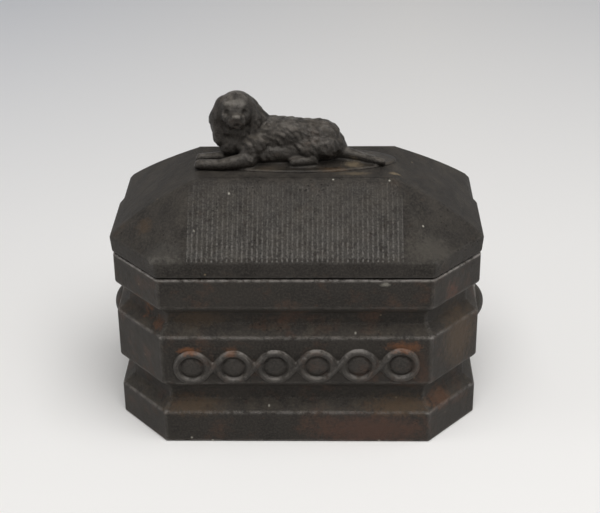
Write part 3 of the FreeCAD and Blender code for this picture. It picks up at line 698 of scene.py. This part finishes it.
dog = joinPieces([makeDog(dogShape)] + makeGround(dogShape["ground"]), "lying_dog")
bpy.ops.object.transform_apply(location=True, rotation=True, scale=True)
applyModifier(dog, "REMESH", mode="VOXEL", voxel_size=dogShape["voxel"] * mm)
applyModifier(dog, "SMOOTH", factor=0.5, iterations=3)
bpy.ops.object.mode_set(mode="EDIT")
cut(point(0, 0, dogShape["place"][2]), (0, 0, -1), dropOuter=True)
pressIn(dogShape)
bpy.ops.object.mode_set(mode="OBJECT")
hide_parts("dog_figure")
finishPiece(dog, "lid_with_dog", smooth=60)
print("dog", len(dog.data.polygons))

# shader node groups shared by the materials


def addNode(tree, kind, sockets=None, **settings):
    made = tree.nodes.new(kind)
    for name, value in settings.items():
        setattr(made, name, value)
    for key, value in (sockets or {}).items():
        if isinstance(value, bpy.types.NodeSocket):
            tree.links.new(value, made.inputs[key])
        else:
            made.inputs[key].default_value = value
    return made


def calc(tree, operation, *values):
    return addNode(tree, "ShaderNodeMath", dict(enumerate(values)), operation=operation).outputs[0]


def ramp(tree, value, low, high, lowOut=0.0, highOut=1.0):
    sockets = {"Value": value, "From Min": low, "From Max": high, "To Min": lowOut, "To Max": highOut}
    return addNode(tree, "ShaderNodeMapRange", sockets).outputs["Result"]


def noise(tree, place, scale, detail=3.0, roughness=0.5):
    sockets = {"Vector": place, "Scale": scale, "Detail": detail, "Roughness": roughness}
    return addNode(tree, "ShaderNodeTexNoise", sockets).outputs["Fac"]


def cells(tree, place, scale):
    return addNode(tree, "ShaderNodeTexVoronoi", {"Vector": place, "Scale": scale})


def mixColours(tree, factor, first, second):
    sockets = {0: factor, 6: first, 7: second}
    return addNode(tree, "ShaderNodeMix", sockets, data_type="RGBA").outputs[2]


def newGroup(name, inputs, outputs):
    group = bpy.data.node_groups.new(name, "ShaderNodeTree")
    for title, kind, value in inputs:
        socket = group.interface.new_socket(name=title, in_out="INPUT", socket_type=kind)
        socket.default_value = value
    for title in outputs:
        group.interface.new_socket(name=title, in_out="OUTPUT", socket_type="NodeSocketFloat")
    start = group.nodes.new("NodeGroupInput")
    end = group.nodes.new("NodeGroupOutput")
    place = group.nodes.new("ShaderNodeTexCoord").outputs["Object"]
    return group, start, end, place


def makeCastGrain():
    # sand-cast skin: fine grain, soft unevenness, small pits and broad patches
    group, start, end, place = newGroup(
        "castGrain", [("Fineness", "NodeSocketFloat", 1.0)], ["Height", "Pits", "Patches", "Grain"])
    fineness = start.outputs["Fineness"]
    grain = noise(group, place, calc(group, "MULTIPLY", fineness, 1500.0), 5.0, 0.75)
    uneven = noise(group, place, calc(group, "MULTIPLY", fineness, 330.0), 3.0, 0.5)
    patches = noise(group, place, 70.0, 5.0, 0.62)
    holes = cells(group, place, calc(group, "MULTIPLY", fineness, 640.0))
    rare = ramp(group, noise(group, place, 120.0, 2.0), 0.5, 0.62, 0.0, 0.2)
    pits = calc(group, "SUBTRACT", rare, holes.outputs["Distance"])
    pits = ramp(group, pits, 0.0, 0.08)
    height = calc(group, "MULTIPLY_ADD", grain, 0.6, calc(group, "MULTIPLY", uneven, 0.9))
    height = calc(group, "SUBTRACT", height, calc(group, "MULTIPLY", pits, 0.8))
    for title, value in (("Height", height), ("Pits", pits), ("Patches", patches), ("Grain", grain)):
        group.links.new(value, end.inputs[title])
    return group


def makeEdgeWearAndPaintedLight():
    # Mask is bare metal on outer edges, where short rays into the iron leave it again, with a painted
    # highlight where the edge faces up,
    # Top is wear and painted highlight on faces that look up, and HollowShade is painted shade where iron
    # stands close around
    inputs = [
        ("Reach", "NodeSocketFloat", 0.001),
        ("Open", "NodeSocketFloat", 0.5),
        ("Above", "NodeSocketFloat", -1.0),
    ]
    group, start, end, place = newGroup("edgeWearAndPaintedLight", inputs, ["Mask", "Top", "HollowShade"])
    reach = {"Distance": start.outputs["Reach"]}
    within = addNode(group, "ShaderNodeAmbientOcclusion", reach, samples=8, inside=True, only_local=True)
    around = addNode(group, "ShaderNodeAmbientOcclusion", {"Distance": 0.002}, samples=8, only_local=True)
    normal = group.nodes.new("ShaderNodeNewGeometry").outputs["Normal"]
    facing = addNode(group, "ShaderNodeSeparateXYZ", {0: normal}).outputs["Z"]
    height = addNode(group, "ShaderNodeSeparateXYZ", {0: place}).outputs["Z"]
    edge = ramp(group, within.outputs["AO"], 0.99, 0.87)
    edge = calc(group, "MULTIPLY", edge, ramp(group, around.outputs["AO"], 0.7, 0.92))
    # painted highlight: edges that face up stay bright, edges that face sideways or down are dimmed
    edge = calc(group, "MULTIPLY", edge, ramp(group, facing, 0.0, 0.4, 0.3, 1.0))
    above = calc(group, "GREATER_THAN", height, start.outputs["Above"])
    edge = calc(group, "MULTIPLY", edge, above)
    rubbed = calc(group, "SUBTRACT", noise(group, place, 330.0, 5.0, 0.75), start.outputs["Open"])
    broken = ramp(group, rubbed, -0.09, 0.09)
    group.links.new(calc(group, "MULTIPLY", edge, broken), end.inputs["Mask"])
    broken = calc(group, "MULTIPLY", above, broken)
    # painted highlight and wear on faces that look up
    group.links.new(calc(group, "MULTIPLY", ramp(group, facing, 0.5, 0.85), broken), end.inputs["Top"])
    # painted shade where iron stands close around
    group.links.new(ramp(group, around.outputs["AO"], 0.85, 0.4), end.inputs["HollowShade"])
    return group


def makeRustBloom():
    # thin rust in ragged patches with a fine speckle
    group, start, end, place = newGroup("rustBloom", [("Spread", "NodeSocketFloat", 0.5)], ["Mask"])
    patch = noise(group, place, 95.0, 6.0, 0.7)
    speckle = ramp(group, noise(group, place, 1100.0, 3.0, 0.6), 0.35, 0.65, 0.35, 1.0)
    mask = ramp(group, calc(group, "SUBTRACT", patch, start.outputs["Spread"]), 0.0, 0.16)
    group.links.new(calc(group, "MULTIPLY", mask, speckle), end.inputs["Mask"])
    return group


def makeStainSpot():
    # a ragged stain around one place, in metres; Stretch below 1 draws it out along an axis
    inputs = [
        ("Place", "NodeSocketVector", (0, 0, 0)),
        ("Stretch", "NodeSocketVector", (1, 1, 1)),
        ("Radius", "NodeSocketFloat", 0.003),
        ("Ragged", "NodeSocketFloat", 0.5),
    ]
    group, start, end, place = newGroup("stainSpot", inputs, ["Mask"])
    def vectors(operation, *values):
        return addNode(group, "ShaderNodeVectorMath", dict(enumerate(values)), operation=operation).outputs
    offset = vectors("SUBTRACT", place, start.outputs["Place"])[0]
    drawn = vectors("MULTIPLY", offset, start.outputs["Stretch"])[0]
    length = vectors("LENGTH", drawn)["Value"]
    share = calc(group, "DIVIDE", length, start.outputs["Radius"])
    rough = calc(group, "SUBTRACT", noise(group, place, 700.0, 6.0, 0.8), 0.5)
    share = calc(group, "MULTIPLY_ADD", rough, calc(group, "MULTIPLY", start.outputs["Ragged"], 3.0), share)
    group.links.new(ramp(group, share, 1.0, 0.35), end.inputs["Mask"])
    return group


def makeDustFall():
    # pale dust on faces that look up, and rare small specks
    group, start, end, place = newGroup("dustFall", [("Amount", "NodeSocketFloat", 0.5)], ["Dust", "Specks"])
    normal = group.nodes.new("ShaderNodeNewGeometry").outputs["Normal"]
    upward = addNode(group, "ShaderNodeSeparateXYZ", {0: normal}).outputs["Z"]
    level = ramp(group, upward, 0.2, 0.85)
    clouds = ramp(group, noise(group, place, 160.0, 5.0, 0.7), 0.42, 0.72)
    dust = calc(group, "MULTIPLY", calc(group, "MULTIPLY", level, clouds), start.outputs["Amount"])
    grit = cells(group, place, 190.0)
    chance = addNode(group, "ShaderNodeSeparateColor", {0: grit.outputs["Color"]}).outputs[0]
    specks = ramp(group, grit.outputs["Distance"], 0.075, 0.045)
    specks = calc(group, "MULTIPLY", specks, ramp(group, chance, 0.86, 0.87))
    group.links.new(dust, end.inputs["Dust"])
    group.links.new(specks, end.inputs["Specks"])
    return group


groups = {
    "grain": makeCastGrain(),
    "wearAndPaintedLight": makeEdgeWearAndPaintedLight(),
    "rust": makeRustBloom(),
    "spot": makeStainSpot(),
    "dust": makeDustFall(),
}
print("groups made")

# looks of the irons and steels: colours are linear, lengths that start with worn are in metres,
# and spots are place, stretch, radius, colour and strength
# hollow sets how strongly painted shade darkens the hollows, and how much rougher they are
orange = (0.17, 0.068, 0.028, 1)
redBrown = (0.09, 0.042, 0.028, 1)
warmBrown = (0.09, 0.056, 0.03, 1)
beige = (0.2, 0.155, 0.1, 1)
white = (0.42, 0.4, 0.34, 1)
pitBlack = (0.012, 0.01, 0.009, 1)

looks = {
    "box_iron": {
        "dark": (0.009, 0.0078, 0.0066, 1), "light": (0.021, 0.0182, 0.0155, 1),
        "speckle": (0.044, 0.038, 0.032, 1),
        "rust": (0.095, 0.045, 0.026, 1), "rustSpread": 0.53, "rustAmount": 0.55,
        "wearAndPaintedLight": (0.36, 0.335, 0.31, 1), "wornReach": 0.0009, "wornOpen": 0.46, "wornAmount": 0.95,
        "dust": (0.13, 0.108, 0.08, 1), "dustAmount": 0.35, "speckAmount": 0.5,
        "roughness": (0.45, 0.7), "metallic": 0.08, "refraction": 1.35, "fineness": 1.0, "bump": 1.0,
        "hollow": 0.5, "sheen": (1, 0.955, 0.905, 1),
        "spots": [
            ((-48.3, -22, 43.8), (1, 1, 0.9), 4.2, orange, 0.9),
            ((-43, -26, 41), (1, 1, 1), 3.0, orange, 0.4),
            ((45.7, -22, 50.7), (1, 1, 0.9), 4.6, redBrown, 0.8),
            ((51, -20, 33), (1, 1, 0.8), 10, warmBrown, 0.5),
            ((23, -30.7, 4.5), (0.32, 1, 1), 7.2, redBrown, 0.55),
            ((-33, -29.5, 13), (0.35, 1, 1), 4.2, warmBrown, 0.5),
            ((32, -29.5, 13), (0.3, 1, 1), 4.2, warmBrown, 0.6),
            ((-30, -27.5, 43), (0.35, 1, 1), 3.6, warmBrown, 0.35),
            ((-33, -31.4, 33.6), (0.45, 1, 1.4), 2.2, orange, 0.75),
            ((33, -31.4, 35), (0.4, 1, 1.2), 2.8, orange, 0.6),
            ((-20, -31.4, 33), (1, 1, 1), 2.2, orange, 0.45),
            ((46, -25, 13), (0.6, 0.6, 1), 4, orange, 0.35),
            ((-26.9, -30.8, 0.4), (1, 0.3, 1), 0.5, white, 1.0),
            ((-33.5, -30.8, 1.5), (1, 0.3, 1), 0.5, white, 0.6),
            ((25.9, -30.8, 0.4), (1, 0.3, 1), 0.5, white, 0.7),
            ((18.2, -28.5, 39), (1, 0.3, 1), 0.5, white, 0.8),
            ((-8.8, -29, 12.4), (1, 0.3, 1), 0.42, white, 0.6),
            ((26.9, -30.8, 56.6), (0.5, 0.3, 1.3), 1.0, white, 0.35),
        ],
    },
    "lid_iron": {
        "dark": (0.01, 0.0088, 0.0076, 1), "light": (0.024, 0.021, 0.0185, 1),
        "speckle": (0.05, 0.044, 0.038, 1),
        "rust": (0.085, 0.05, 0.03, 1), "rustSpread": 0.58, "rustAmount": 0.4,
        "wearAndPaintedLight": (0.2, 0.19, 0.175, 1), "wornReach": 0.0007, "wornOpen": 0.46, "wornAmount": 0.6,
        "dust": (0.12, 0.105, 0.085, 1), "dustAmount": 0.3, "speckAmount": 0.7,
        "roughness": (0.45, 0.7), "metallic": 0.08, "refraction": 1.29, "fineness": 1.0, "bump": 1.0,
        "hollow": 0.4, "sheen": (1, 0.955, 0.905, 1), "ribs": 0.75,
        "spots": [
            ((30.3, -8.2, 82.5), (0.6, 1, 0.5), 1.3, beige, 0.8),
            ((18, -8.5, 83), (0.3, 1, 0.5), 1.6, beige, 0.4),
            ((-20.0, -15.8, 80), (1, 1, 0.3), 0.4, white, 0.8),
            ((11.4, -12.4, 82.8), (1, 1, 0.3), 0.4, white, 0.9),
            ((28.4, -12.8, 82.5), (1, 1, 0.3), 0.4, white, 0.9),
            ((43.0, 11.6, 75), (1, 1, 0.3), 0.4, white, 0.6),
            ((38.3, -22.3, 72), (1, 1, 0.3), 0.4, white, 0.9),
            ((-30.2, -24.1, 72), (1, 1, 0.3), 0.4, white, 0.8),
            ((-39.5, -29.5, 64.2), (0.25, 1, 1), 1.6, white, 0.22),
            ((-46, -18, 70), (1, 1, 1), 3.5, warmBrown, 0.35),
            ((-40, -29.5, 66), (0.6, 1, 1), 5.5, (0.075, 0.069, 0.06, 1), 0.45),
            ((41, -28, 67), (0.6, 1, 1), 6.5, (0.085, 0.077, 0.064, 1), 0.5),
        ],
    },
    "dog_iron": {
        "dark": (0.006, 0.005, 0.0042, 1), "light": (0.015, 0.0128, 0.0106, 1),
        "speckle": (0.03, 0.0256, 0.0215, 1),
        "rust": (0.085, 0.05, 0.03, 1), "rustSpread": 0.57, "rustAmount": 0.4,
        "wearAndPaintedLight": (0.22, 0.2, 0.178, 1), "wornReach": 0.0006, "wornOpen": 0.5, "wornAmount": 0.45,
        "wornAbove": 0.0849, "topWearAndHighlight": 0.36,
        "dust": (0.13, 0.105, 0.075, 1), "dustAmount": 0.3, "speckAmount": 0.4,
        "roughness": (0.2, 0.42), "metallic": 0.1, "refraction": 1.38, "fineness": 1.2, "bump": 0.7,
        "hollow": 0.95, "sheen": (1, 0.95, 0.89, 1),
        "spots": [
            ((17.5, -3.4, 84.5), (0.7, 1, 0.5), 2.4, beige, 0.6),
            ((12, -6.8, 84), (0.3, 1, 0.5), 1.8, warmBrown, 0.5),
            ((-23.8, -3.1, 84.8), (1, 1, 0.5), 0.42, white, 0.8),
            ((-26.3, -3.0, 84.8), (1, 1, 0.5), 0.45, white, 0.6),
            # painted highlights on the brow and on the nose
            ((-18.3, -3.2, 104), (0.36, 1, 1.2), 1.5, (0.17, 0.157, 0.138, 1), 0.45),
            ((-17.7, -6.8, 101), (0.7, 1, 1.2), 1.05, (0.19, 0.176, 0.155, 1), 0.55),
        ],
    },
    "guilloche_iron": {
        "wornReach": 0.0006, "wornOpen": 0.47, "wornAmount": 0.5, "topWearAndHighlight": 0.48,
        "roughness": (0.42, 0.62), "refraction": 1.42, "hollow": 0.6,
    },
    "pin_steel": {
        "dark": (0.1, 0.085, 0.07, 1), "light": (0.17, 0.15, 0.13, 1), "speckle": (0.2, 0.18, 0.15, 1),
        "rust": (0.13, 0.06, 0.03, 1), "rustSpread": 0.5, "rustAmount": 0.6,
        "wearAndPaintedLight": (0.35, 0.33, 0.3, 1), "wornReach": 0.0004, "wornOpen": 0.4, "wornAmount": 0.8,
        "dust": (0.2, 0.17, 0.13, 1), "dustAmount": 0.2, "speckAmount": 0.0,
        "roughness": (0.36, 0.6), "metallic": 0.85, "refraction": 1.5, "fineness": 1.6, "bump": 0.15,
        "hollow": 0.2, "sheen": (1, 1, 1, 1), "spots": [],
    },
    "screw_steel": {
        "dark": (0.085, 0.072, 0.062, 1), "light": (0.14, 0.125, 0.11, 1), "speckle": (0.18, 0.16, 0.14, 1),
        "rust": (0.13, 0.06, 0.03, 1), "rustSpread": 0.47, "rustAmount": 0.7,
        "wearAndPaintedLight": (0.32, 0.3, 0.27, 1), "wornReach": 0.0004, "wornOpen": 0.4, "wornAmount": 0.8,
        "dust": (0.2, 0.17, 0.13, 1), "dustAmount": 0.2, "speckAmount": 0.0,
        "roughness": (0.38, 0.62), "metallic": 0.85, "refraction": 1.5, "fineness": 1.6, "bump": 0.15,
        "hollow": 0.2, "sheen": (1, 1, 1, 1), "spots": [],
    },
}
looks["guilloche_iron"] = {**looks["box_iron"], **looks["guilloche_iron"]}  # the box's iron, more worn, with painted highlight on faces that look up

ribWearAndHighlightPlaces = {"frontY": -13.5, "lowZ": 64.3, "strongZ": 64.0, "faintZ": 81.0, "faint": 0.22}


def ribWearAndHighlightMask(tree, grain):
    # the striker's ribs, rubbed light and painted as highlights on the rib tops, most of all at the foot of
    # the front slope
    place = tree.nodes.new("ShaderNodeTexCoord").outputs["Object"]
    split = addNode(tree, "ShaderNodeSeparateXYZ", {0: place}).outputs
    turns = calc(tree, "MULTIPLY", split["X"], 2 * math.pi / (strikerShape["pitch"] * mm))
    ribs = ramp(tree, calc(tree, "COSINE", turns), -0.1, -0.85)
    halfWidth = strikerShape["pitch"] * strikerShape["count"] / 2 * mm
    within = calc(tree, "LESS_THAN", calc(tree, "ABSOLUTE", split["X"]), halfWidth)
    front = calc(tree, "LESS_THAN", split["Y"], ribWearAndHighlightPlaces["frontY"] * mm)
    outside = calc(tree, "GREATER_THAN", split["Z"], ribWearAndHighlightPlaces["lowZ"] * mm)
    fade = ramp(tree, split["Z"], ribWearAndHighlightPlaces["faintZ"] * mm, ribWearAndHighlightPlaces["strongZ"] * mm, ribWearAndHighlightPlaces["faint"], 1.0)
    mask = ribs
    for limit in (within, front, outside, fade, ramp(tree, grain, 0.4, 0.62)):
        mask = calc(tree, "MULTIPLY", mask, limit)
    return mask


def useGroup(tree, name, **values):
    made = tree.nodes.new("ShaderNodeGroup")
    made.node_tree = groups[name]
    for title, value in values.items():
        made.inputs[title].default_value = value
    return made.outputs


def makeIron(name, look):
    material = bpy.data.materials.new(name)
    material.use_nodes = True
    tree = material.node_tree
    shader = tree.nodes["Principled BSDF"]
    grain = useGroup(tree, "grain", Fineness=look["fineness"])
    lowest = look.get("wornAbove", -1.0)
    wearAndPaintedLight = useGroup(tree, "wearAndPaintedLight", Reach=look["wornReach"], Open=look["wornOpen"], Above=lowest)
    dust = useGroup(tree, "dust", Amount=look["dustAmount"])
    rust = useGroup(tree, "rust", Spread=look["rustSpread"])
    colour = mixColours(tree, ramp(tree, grain["Patches"], 0.35, 0.65), look["dark"], look["light"])
    speckle = ramp(tree, grain["Grain"], 0.44, 0.62)
    colour = mixColours(tree, calc(tree, "MULTIPLY", speckle, 0.8), colour, look["speckle"])
    colour = mixColours(tree, calc(tree, "MULTIPLY", rust["Mask"], look["rustAmount"]), colour, look["rust"])
    wearAndHighlight = calc(tree, "MULTIPLY", wearAndPaintedLight["Mask"], look["wornAmount"])
    # painted highlight and wear on faces that look up
    if "topWearAndHighlight" in look:
        wearAndHighlight = calc(tree, "MAXIMUM", wearAndHighlight, calc(tree, "MULTIPLY", wearAndPaintedLight["Top"], look["topWearAndHighlight"]))
    # the striker's ribs: wear and painted highlight
    if "ribs" in look:
        ribs = ribWearAndHighlightMask(tree, grain["Grain"])
        wearAndHighlight = calc(tree, "MAXIMUM", wearAndHighlight, calc(tree, "MULTIPLY", ribs, look["ribs"]))
    # the bare-metal colour, which also paints the highlights on edges, tops and ribs
    colour = mixColours(tree, wearAndHighlight, colour, look["wearAndPaintedLight"])
    colour = mixColours(tree, dust["Dust"], colour, look["dust"])
    for place, stretch, radius, tint, strength in look["spots"]:
        ragged = 0.15 if radius < 1 else 0.85  # specks are round, stains are torn
        spot = useGroup(tree, "spot", Place=point(*place), Stretch=stretch, Radius=radius * mm, Ragged=ragged)
        colour = mixColours(tree, calc(tree, "MULTIPLY", spot["Mask"], strength), colour, tint)
    if look["speckAmount"]:
        colour = mixColours(tree, calc(tree, "MULTIPLY", dust["Specks"], look["speckAmount"]), colour, beige)
    colour = mixColours(tree, calc(tree, "MULTIPLY", grain["Pits"], 0.6), colour, pitBlack)
    # painted shade: hollows are darkened towards the dark tone
    colour = mixColours(tree, calc(tree, "MULTIPLY", wearAndPaintedLight["HollowShade"], look["hollow"]), colour, look["dark"])
    tree.links.new(colour, shader.inputs["Base Color"])
    shader.inputs["Specular Tint"].default_value = look["sheen"]
    low, high = look["roughness"]
    roughness = ramp(tree, grain["Grain"], 0.3, 0.7, low, high)
    roughness = calc(tree, "ADD", roughness, calc(tree, "MULTIPLY", dust["Dust"], 0.25))
    roughness = calc(tree, "SUBTRACT", roughness, calc(tree, "MULTIPLY", wearAndPaintedLight["Mask"], 0.12))
    roughness = calc(tree, "ADD", roughness, calc(tree, "MULTIPLY", wearAndPaintedLight["HollowShade"], 0.5 * look["hollow"]))
    tree.links.new(roughness, shader.inputs["Roughness"])
    shader.inputs["Metallic"].default_value = look["metallic"]
    shader.inputs["IOR"].default_value = look["refraction"]
    sockets = {"Strength": look["bump"], "Distance": 0.0006, "Height": grain["Height"]}
    tree.links.new(addNode(tree, "ShaderNodeBump", sockets).outputs["Normal"], shader.inputs["Normal"])
    return material


materials = {name: makeIron(name, look) for name, look in looks.items()}
wearers = {
    "box_iron": (box,),
    "guilloche_iron": (band,),
    "lid_iron": (lid,),
    "dog_iron": (dog,),
    "pin_steel": (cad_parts["hinge_pin"],),
    "screw_steel": (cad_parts["figure_screw_left"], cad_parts["figure_screw_right"]),
}
for name, pieces in wearers.items():
    for piece in pieces:
        piece.data.materials.clear()
        piece.data.materials.append(materials[name])
print("materials set")

# floor and light, in metres: lamps are place, size and power
studio = {
    "near": (0.9, 0.885, 0.865, 1),
    "farShade": (0.755, 0.77, 0.81, 1),
    "farFrom": 0.05,
    "farTo": 0.5,
    "brightX": 0.06,
    "aside": 3.4,
    "least": 0.1,
    "world": 0.15,
    "wall": 0.5,
    "wallColour": (0.985, 0.99, 1, 1),
    "aim": (0, 0, 0.05),
    "lamps": {
        "top": ((0.1, -0.34, 0.93), 0.85, 9.4),
        "right": ((1.0, -0.25, 0.25), 0.5, 2.0),
        "left": ((-1.0, -0.2, 0.25), 0.5, 2.0),
    },
}


def makeFloor(setup):
    # a pale plain floor, with painted shade that darkens it a little towards the back corners
    clearSelection()
    bpy.ops.mesh.primitive_plane_add(size=8, location=(0, 0, 0))
    floor = bpy.context.object
    floor.name = "floor"
    material = bpy.data.materials.new("pale_floor")
    material.use_nodes = True
    tree = material.node_tree
    shader = tree.nodes["Principled BSDF"]
    place = tree.nodes.new("ShaderNodeTexCoord").outputs["Object"]
    split = addNode(tree, "ShaderNodeSeparateXYZ", {0: place}).outputs
    back = ramp(tree, split["Y"], setup["farFrom"], setup["farTo"])
    aside = calc(tree, "ABSOLUTE", calc(tree, "SUBTRACT", split["X"], setup["brightX"]))
    aside = calc(tree, "ADD", calc(tree, "MULTIPLY", aside, setup["aside"]), setup["least"])
    share = calc(tree, "MULTIPLY", back, aside)
    tree.links.new(mixColours(tree, share, setup["near"], setup["farShade"]), shader.inputs["Base Color"])
    shader.inputs["Roughness"].default_value = 0.9
    shader.inputs["Specular IOR Level"].default_value = 0.1
    floor.data.materials.append(material)


def makeLight(setup):
    world = bpy.data.worlds.new("room")
    bpy.context.scene.world = world
    world.use_nodes = True
    tree = world.node_tree
    # the wall behind the floor, pale where it is seen straight or in a reflection
    rays = tree.nodes.new("ShaderNodeLightPath").outputs
    seen = calc(tree, "MAXIMUM", rays["Is Camera Ray"], rays["Is Glossy Ray"])
    seen = calc(tree, "MAXIMUM", seen, rays["Is Transmission Ray"])
    wall = tree.nodes["Background"].inputs
    wall["Color"].default_value = setup["wallColour"]
    tree.links.new(ramp(tree, seen, 0.0, 1.0, setup["world"], setup["wall"]), wall["Strength"])
    for place, size, power in setup["lamps"].values():
        bpy.ops.object.light_add(type="AREA", location=place)
        lamp = bpy.context.object
        lamp.data.energy = power
        lamp.data.size = size
        lamp.visible_camera = False
        lamp.rotation_mode = "QUATERNION"
        lamp.rotation_quaternion = (Vector(setup["aim"]) - Vector(place)).to_track_quat("-Z", "Y")


makeFloor(studio)
makeLight(studio)

scene = bpy.context.scene
scene.view_settings.view_transform = "Standard"
print("studio set")
